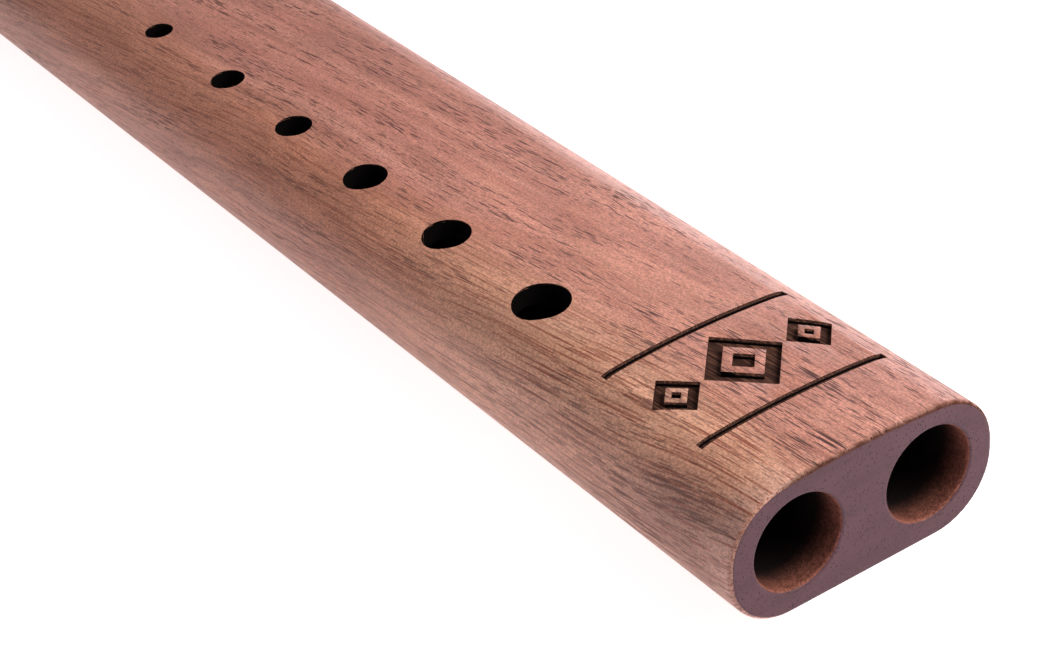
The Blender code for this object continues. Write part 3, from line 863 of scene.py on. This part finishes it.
@dataclass
class EngravedBand:
    """A plain band cut across the top near the foot: lozenges in a row between two grooves."""

    middle: float = 32.5 * MM
    depth: float = 1.2 * MM
    groove_width: float = 1.7 * MM
    groove_spacing: float = 27.5 * MM
    groove_half_length: float = 21.0 * MM
    lozenge_half_along: float = 10.0 * MM
    lozenge_half_across: float = 9.0 * MM
    core_share: float = 0.58
    centre_share: float = 0.3
    side_shift: float = 15.2 * MM
    side_share: float = 0.6
    side_core_share: float = 0.5
    side_centre_share: float = 0.13
    strips: int = 26
    overshoot: float = 3.0 * MM

    def lozenges(self) -> list[Lozenge]:
        """Lay out the row: a large ring, a smaller one on each side, and a centre in each.

        Returns:
            The lozenges.
        """
        row = [self._sized(0.0, 1.0, self.core_share), self._sized(0.0, self.centre_share)]
        for side in SIDES:
            place = side * self.side_shift
            row.append(self._sized(place, self.side_share, self.side_core_share))
            row.append(self._sized(place, self.side_centre_share))
        return row

    def _sized(self, across: float, share: float, core_share: float = 0.0) -> Lozenge:
        """Return a lozenge whose size is a share of the large one's."""
        half_across, half_along = self.lozenge_half_across * share, self.lozenge_half_along * share
        return Lozenge(across, half_across, half_along, core_share)

    def cutters(self, surface: Surface, material: Material) -> list[Object]:
        """Build the cutters of the whole band.

        Args:
            surface: gives the height of the body's top at a place.
            material: the finish of the cut.

        Returns:
            The cutters, whose floors follow the top.
        """
        made = []
        for number, lozenge in enumerate(self.lozenges()):
            mesh = bmesh.new()
            bmesh.ops.create_circle(mesh, cap_ends=True, segments=4, radius=1.0)
            size = (lozenge.half_across, lozenge.half_along, 1.0)
            bmesh.ops.scale(mesh, vec=size, verts=mesh.verts[:])
            if lozenge.core_share:
                self._open_core(mesh, lozenge.core_share)
            place = (lozenge.across, self.middle, 0.0)
            bmesh.ops.translate(mesh, vec=place, verts=mesh.verts[:])
            made.append(self._deepened(mesh, f"lozenge_cut_{number}", surface, material))
        for number, side in enumerate(SIDES):
            mesh = bmesh.new()
            bmesh.ops.create_grid(mesh, x_segments=1, y_segments=1, size=1.0)
            size = (self.groove_half_length, self.groove_width / 2, 1.0)
            bmesh.ops.scale(mesh, vec=size, verts=mesh.verts[:])
            place = (0.0, self.middle + side * self.groove_spacing / 2, 0.0)
            bmesh.ops.translate(mesh, vec=place, verts=mesh.verts[:])
            made.append(self._deepened(mesh, f"groove_cut_{number}", surface, material))
        return made

    @staticmethod
    def _open_core(mesh: Mesh, share: float) -> None:
        """Open the middle of a flat lozenge, leaving a ring.

        Args:
            mesh: the flat lozenge.
            share: the opening's size as a share of the lozenge's.
        """
        inner = bmesh.ops.extrude_face_region(mesh, geom=mesh.faces[:])["geom"]
        verts = [item for item in inner if isinstance(item, bmesh.types.BMVert)]
        bmesh.ops.scale(mesh, vec=(share, share, 1.0), verts=verts)
        core = [item for item in inner if isinstance(item, Face)]
        bmesh.ops.delete(mesh, geom=core, context="FACES")
        outer = [face for face in mesh.faces if not any(v in verts for v in face.verts)]
        bmesh.ops.delete(mesh, geom=outer, context="FACES")

    def _deepened(self, mesh: Mesh, name: str, surface: Surface, material: Material) -> Object:
        """Give a flat outline walls and a floor at an even depth under the top.

        Args:
            mesh: the flat outline, which is freed.
            name: the cutter's name.
            surface: gives the height of the body's top.
            material: the finish of the cut.

        Returns:
            The cutter.
        """
        reach = self.groove_half_length
        for number in range(1, self.strips):
            place = (-reach + 2 * reach * number / self.strips, 0.0, 0.0)
            geometry = mesh.verts[:] + mesh.edges[:] + mesh.faces[:]
            bmesh.ops.bisect_plane(mesh, geom=geometry, plane_co=place, plane_no=(1.0, 0.0, 0.0))
        raised = bmesh.ops.extrude_face_region(mesh, geom=mesh.faces[:])["geom"]
        lid = [item for item in raised if isinstance(item, bmesh.types.BMVert)]
        for vert in mesh.verts:
            vert.co.z = surface(vert.co.x, vert.co.y) - self.depth
        bmesh.ops.translate(mesh, vec=(0.0, 0.0, self.depth + self.overshoot), verts=lid)
        bmesh.ops.recalc_face_normals(mesh, faces=mesh.faces[:])
        cutter = finish_mesh(mesh, name, [material])
        cutter.hide_render = True
        return cutter


@dataclass
class FluteBody:
    """The bored body, with its engraved band."""

    bore_radius: float = 9.525 * MM
    bore_half_spacing: float = 14.75 * MM
    wall_slack: float = 0.28 * MM
    lip_reach: float = 0.85 * MM
    end_slack: float = 0.2 * MM
    end_slope: float = 0.9
    finger_row: float = -15.55 * MM
    finger_holes: tuple[tuple[float, float], ...] = (
        (73.3, 11.3),
        (105.5, 9.8),
        (135.6, 9.1),
        (164.3, 7.8),
        (192.8, 7.4),
        (224.7, 6.2),
    )
    hole_rim: float = 0.32 * MM

    def build(self, effects: Effects) -> None:
        """Build the body and let it stand for its node.

        Args:
            effects: the shared node groups.
        """
        finishes = {
            BodyPart.SIDES: OiledWood("oiled_body_wood", cut_edge_reach=1.15),
            BodyPart.ENDS: EndGrain("body_end_grain"),
            BodyPart.BORES: BoredWood("bore_wall"),
            BodyPart.BURNS: BurntWood("scorched_wood"),
        }
        materials = [finishes[part].material(effects) for part in BodyPart]
        mesh = merged_copy(Node.BODY)
        tree = BVHTree.FromBMesh(mesh)
        self._sort_faces(mesh)
        body = finish_mesh(mesh, "flute_body", materials)

        def surface(across: float, along: float) -> float:
            """Return the height of the body's top at a place."""
            hit = tree.ray_cast(Vector((across, along, 1.0)), Vector((0.0, 0.0, -1.0)))
            return hit[0].z

        self._cut(body, EngravedBand().cutters(surface, materials[BodyPart.BURNS]))
        even_normals(body)
        commit(body, Node.BODY, Carrier.FLUTE)

    def _sort_faces(self, mesh: Mesh) -> None:
        """Give end faces, bores and finger holes their own finishes.

        Args:
            mesh: the body's mesh.
        """
        foot = min(vert.co.y for vert in mesh.verts)
        rear = max(vert.co.y for vert in mesh.verts)
        for face in mesh.faces:
            place = face.calc_center_median().y
            near_end = min(place - foot, rear - place) < self.end_slack
            if abs(face.normal.y) > self.end_slope and near_end:
                face.material_index = BodyPart.ENDS
            elif self._in_bore(face, self.wall_slack):
                face.material_index = BodyPart.BORES
            elif self._in_bore(face, self.lip_reach):
                face.material_index = BodyPart.ENDS
            # Finger holes take the burnt finish, with painted shade on their walls.
            elif self._in_finger_hole(face):
                face.material_index = BodyPart.BURNS

    def _in_bore(self, face: Face, slack: float) -> bool:
        """Say whether each corner of a face is in a bore, or within slack outside its wall."""
        reach, middle = self.bore_radius + slack, self.bore_half_spacing
        return all(
            min(math.hypot(v.co.x - side * middle, v.co.z) for side in SIDES) < reach
            for v in face.verts
        )

    def _in_finger_hole(self, face: Face) -> bool:
        """Say whether each corner of a face is in a finger hole or on its rim."""
        holes = [(along * MM, width * MM / 2 + self.hole_rim) for along, width in self.finger_holes]
        return any(
            all(math.hypot(v.co.x - self.finger_row, v.co.y - along) < reach for v in face.verts)
            for along, reach in holes
        )

    @staticmethod
    def _cut(body: Object, cutters: list[Object]) -> None:
        """Subtract the cutters from the body and remove them.

        Args:
            body: the body, whose mesh is replaced.
            cutters: the solids to subtract.
        """
        shelf = bpy.data.collections.new("engraving_cutters")
        bpy.context.scene.collection.children.link(shelf)
        for cutter in cutters:
            bpy.context.scene.collection.objects.unlink(cutter)
            shelf.objects.link(cutter)
        modifier = body.modifiers.new("engraving", "BOOLEAN")
        modifier.operation = "DIFFERENCE"
        modifier.solver = "EXACT"
        modifier.material_mode = "TRANSFER"
        modifier.operand_type = "COLLECTION"
        modifier.collection = shelf
        bpy.context.view_layer.update()
        graph = bpy.context.evaluated_depsgraph_get()
        cut = bpy.data.meshes.new_from_object(body.evaluated_get(graph))
        body.modifiers.clear()
        body.data = cut
        for cutter in cutters:
            bpy.data.objects.remove(cutter)
        bpy.data.collections.remove(shelf)


@dataclass
class Mouthpiece:
    """The beak that the player blows into, with a breath hole to each bore."""

    hole_half_spacing: float = 9.9 * MM
    hole_radius: float = 3.175 * MM
    wall_slack: float = 0.1 * MM
    sap_share: float = 0.35
    fade_lead: float = 2.0
    fade_length: float = 14.0

    def build(self, effects: Effects) -> None:
        """Build the mouthpiece and let it stand for its node.

        Args:
            effects: the shared node groups.
        """
        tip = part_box(Node.MOUTHPIECE.value)[1].y / MM
        # Where the breath holes' painted shade starts and where it is full.
        fade = (tip + self.fade_lead, tip - self.fade_length)
        wood = OiledWood("oiled_mouthpiece_wood", sap_share=self.sap_share).material(effects)
        bored = BoredWood("breath_hole_wall", fade=fade).material(effects)
        mesh = merged_copy(Node.MOUTHPIECE)
        for face in mesh.faces:
            if any(self._in_hole(face, side) for side in SIDES):
                face.material_index = 1
        piece = finish_mesh(mesh, "beak", [wood, bored])
        even_normals(piece)
        commit(piece, Node.MOUTHPIECE, Carrier.FLUTE)

    def _in_hole(self, face: Face, side: int) -> bool:
        """Say whether each corner of a face is in the breath hole on one side."""
        reach, middle = self.hole_radius + self.wall_slack, side * self.hole_half_spacing
        return all(math.hypot(v.co.x - middle, v.co.z) < reach for v in face.verts)


@dataclass
class Voicing:
    """What shapes the sound of one bore: its stopper, flue plate and block."""

    side: str
    block: Node
    plate: Node
    stopper: Node
    carrier: Carrier

    def build(self, effects: Effects) -> None:
        """Build the block and plate, and dress the stopper.

        Args:
            effects: the shared node groups.
        """
        dark = OiledWood(
            f"{self.side}_block_wood",
            heart=(0.105, 0.05, 0.031),
            band=(0.062, 0.03, 0.02),
            sap=(0.12, 0.062, 0.04),
            streak=(0.03, 0.014, 0.01),
            pore=(0.012, 0.007, 0.006),
            roughness=0.38,
            grain_turn=0.0,
            sap_share=0.0,
        ).material(effects)
        block = finish_mesh(merged_copy(self.block), f"{self.side}_carved_block", [dark])
        even_normals(block)
        commit(block, self.block, self.carrier)
        brass = BrushedBrass(f"{self.side}_brass").material(effects)
        plate = finish_mesh(merged_copy(self.plate), f"{self.side}_brass_plate", [brass])
        commit(plate, self.plate, Carrier.FLUTE)
        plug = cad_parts[self.stopper.value]
        plug.data.materials.clear()
        plug.data.materials.append(EndGrain(f"{self.side}_stopper_wood").material(effects))
        LOG.info("%s keeps its frame mesh", self.stopper.value)


@dataclass(frozen=True)
class Lamp:
    """A square soft light, with its power in watts."""

    name: str
    place: Point
    aim: Point
    size: float
    power: float
    colour: Colour

    def hang(self) -> None:
        """Hang the light at its place and turn it to its aim."""
        data = bpy.data.lights.new(self.name, "AREA")
        data.size = self.size
        data.energy = self.power
        data.color = self.colour
        lamp = bpy.data.objects.new(self.name, data)
        bpy.context.scene.collection.objects.link(lamp)
        turn = (Vector(self.aim) - Vector(self.place)).to_track_quat("-Z", "Y")
        lamp.matrix_world = Matrix.Translation(self.place) @ turn.to_matrix().to_4x4()


@dataclass
class Studio:
    """The floor, the lights, the surroundings and the camera."""

    camera_place: Point = (-0.23379, -0.26827, 0.27446)
    heading: float = -32.24
    downward: float = 33.24
    roll: float = -5.16
    lens: float = 87.7
    sensor: float = 36.0
    floor_radius: float = 4.0
    floor_middle: float = 0.25
    shadow_zone: Zone = (0.4, 0.9)
    table_mirror: float = 0.75
    lamps: tuple[Lamp, ...] = (
        Lamp("key", (0.30, -0.29, 0.39), (0.0, 0.03, 0.0), 0.40, 4.4, (1.0, 0.97, 0.97)),
        Lamp("side", (-0.45, 0.28, 0.16), (0.0, 0.16, 0.0), 0.4, 0.31, (0.84, 0.95, 1.0)),
        Lamp("rim", (0.45, 0.38, 0.11), (0.02, 0.12, 0.0), 0.3, 0.66, (1.0, 0.92, 0.98)),
    )

    def build(self) -> None:
        """Set up everything around the flute."""
        self._camera()
        self._floor()
        self._surroundings()
        for lamp in self.lamps:
            lamp.hang()

    def _camera(self) -> None:
        """Place the camera at the photograph's viewpoint."""
        data = bpy.data.cameras.new("camera")
        data.lens = self.lens
        data.sensor_width = self.sensor
        data.clip_start = 0.01
        camera = bpy.data.objects.new("camera", data)
        bpy.context.scene.collection.objects.link(camera)
        turn = Euler((0.0, 0.0, math.radians(self.heading))).to_matrix()
        tilt = Euler((math.radians(90.0 - self.downward), 0.0, 0.0)).to_matrix()
        spin = Euler((0.0, 0.0, math.radians(self.roll))).to_matrix()
        whole = (turn @ tilt @ spin).to_4x4()
        camera.matrix_world = Matrix.Translation(self.camera_place) @ whole
        bpy.context.scene.camera = camera

    def _floor(self) -> None:
        """Lay a round white floor under the flute."""
        middle = (0.0, self.floor_middle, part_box("body")[0].z)
        mesh = bmesh.new()
        bmesh.ops.create_circle(mesh, cap_ends=True, segments=96, radius=self.floor_radius)
        bmesh.ops.translate(mesh, vec=middle, verts=mesh.verts[:])
        floor = finish_mesh(mesh, "floor", [self._floor_finish(middle)])

    def _floor_finish(self, middle: Point) -> Material:
        """Make the floor's material: white to the camera, with a soft shadow near the flute.

        Args:
            middle: the point round which the shadow shows.

        Returns:
            The material.
        """
        material = bpy.data.materials.new("white_floor")
        material.use_nodes = True
        graph = Graph(material.node_tree)
        matt = graph.add("BsdfDiffuse", {"Color": (0.85, 0.84, 0.85)}).outputs[0]
        glow = graph.light("Emission", WHITE, 0.8)
        near = graph.add("AddShader", {0: matt, 1: glow}).outputs[0]
        table = graph.add("BsdfDiffuse", {"Color": (0.82, 0.74, 0.82)}).outputs[0]
        table_glow = graph.light("Emission", (0.94, 0.84, 0.95), 0.34)
        bounce = graph.add("AddShader", {0: table, 1: table_glow}).outputs[0]
        centred = graph.vector("SUBTRACT", graph.add("TexCoord").outputs["Object"], middle)
        away = graph.smooth(graph.length(centred), *self.shadow_zone)
        shown = graph.mix(away, near, graph.light("Emission", WHITE, 1.0))
        glossy = graph.add("LightPath").outputs["Is Glossy Ray"]
        whiteness = graph.math("MAXIMUM", self._seen(graph), graph.times(glossy, self.table_mirror))
        graph.add("OutputMaterial", {"Surface": graph.mix(whiteness, bounce, shown)})
        return material

    @staticmethod
    def _seen(graph: Graph) -> Socket:
        """Return 1 for rays of the camera, and for refracted ones."""
        rays = graph.add("LightPath").outputs
        return graph.math("MAXIMUM", rays["Is Camera Ray"], rays["Is Transmission Ray"])

    def _surroundings(self) -> None:
        """Give the world a white backdrop and a softer, cool light."""
        world = bpy.data.worlds.new("studio")
        bpy.context.scene.world = world
        world.use_nodes = True
        graph = Graph(world.node_tree)
        light = graph.light("Background", (0.95, 0.92, 1.0), 0.25)
        mirrored = graph.light("Background", (0.97, 0.95, 1.0), 0.4)
        glossy = graph.add("LightPath").outputs["Is Glossy Ray"]
        around = graph.mix(glossy, light, mirrored)
        final = graph.mix(self._seen(graph), around, graph.light("Background", WHITE, 1.0))
        graph.add("OutputWorld", {"Surface": final})


def main() -> None:
    """Build the studio and every piece of the flute."""
    logging.basicConfig(level=logging.INFO, format="%(name)s: %(message)s")
    bpy.context.scene.view_settings.view_transform = "Standard"
    Studio().build()
    effects = Effects()
    FluteBody().build(effects)
    Mouthpiece().build(effects)
    melody = (Node.MELODY_BLOCK, Node.MELODY_PLATE, Node.MELODY_STOPPER, Carrier.MELODY)
    drone = (Node.DRONE_BLOCK, Node.DRONE_PLATE, Node.DRONE_STOPPER, Carrier.DRONE)
    Voicing("melody", *melody).build(effects)
    Voicing("drone", *drone).build(effects)


if __name__ == "__main__":
    main()
